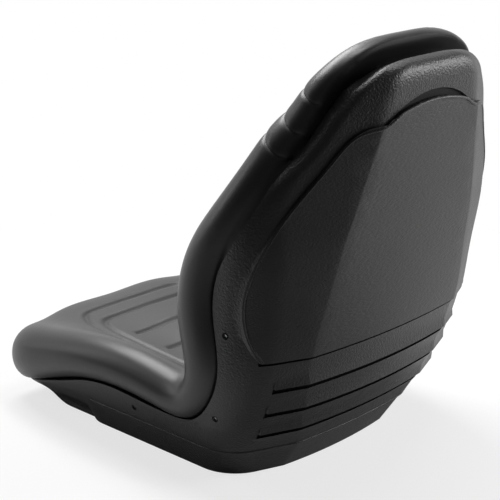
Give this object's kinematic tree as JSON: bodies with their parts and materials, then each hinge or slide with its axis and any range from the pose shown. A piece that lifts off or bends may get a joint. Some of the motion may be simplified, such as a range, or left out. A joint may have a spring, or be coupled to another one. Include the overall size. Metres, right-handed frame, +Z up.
{
  "type": "bucket seat",
  "caption": "High-back bucket seat for a garden machine: moulded back shell and tray on a flat base, with a rolled-edge foam cushion and a threaded bolt pattern under it.",
  "frame": {"origin": "middle of the rectangular bolt pattern on the flat underside of the base", "axes": "+Z up, the sitter faces -Y, +Y to the rear, +X to the sitter's left"},
  "size_m": [0.4802, 0.6099, 0.5684],
  "materials": {
    "shell_plastic": "grained moulded black plastic",
    "cushion_skin": "satin black moulded foam skin",
    "screw_steel": "zinc-plated",
    "nut_steel": "zinc-plated",
    "insert_brass": "plain turned"
  },
  "bodies": {
    "root": {"back_shell": "shell_plastic", "seat_cushion": "cushion_skin", "side_screws": "screw_steel", "cushion_nuts": "nut_steel", "mounting_inserts": "insert_brass"}
  },
  "joints": []
}
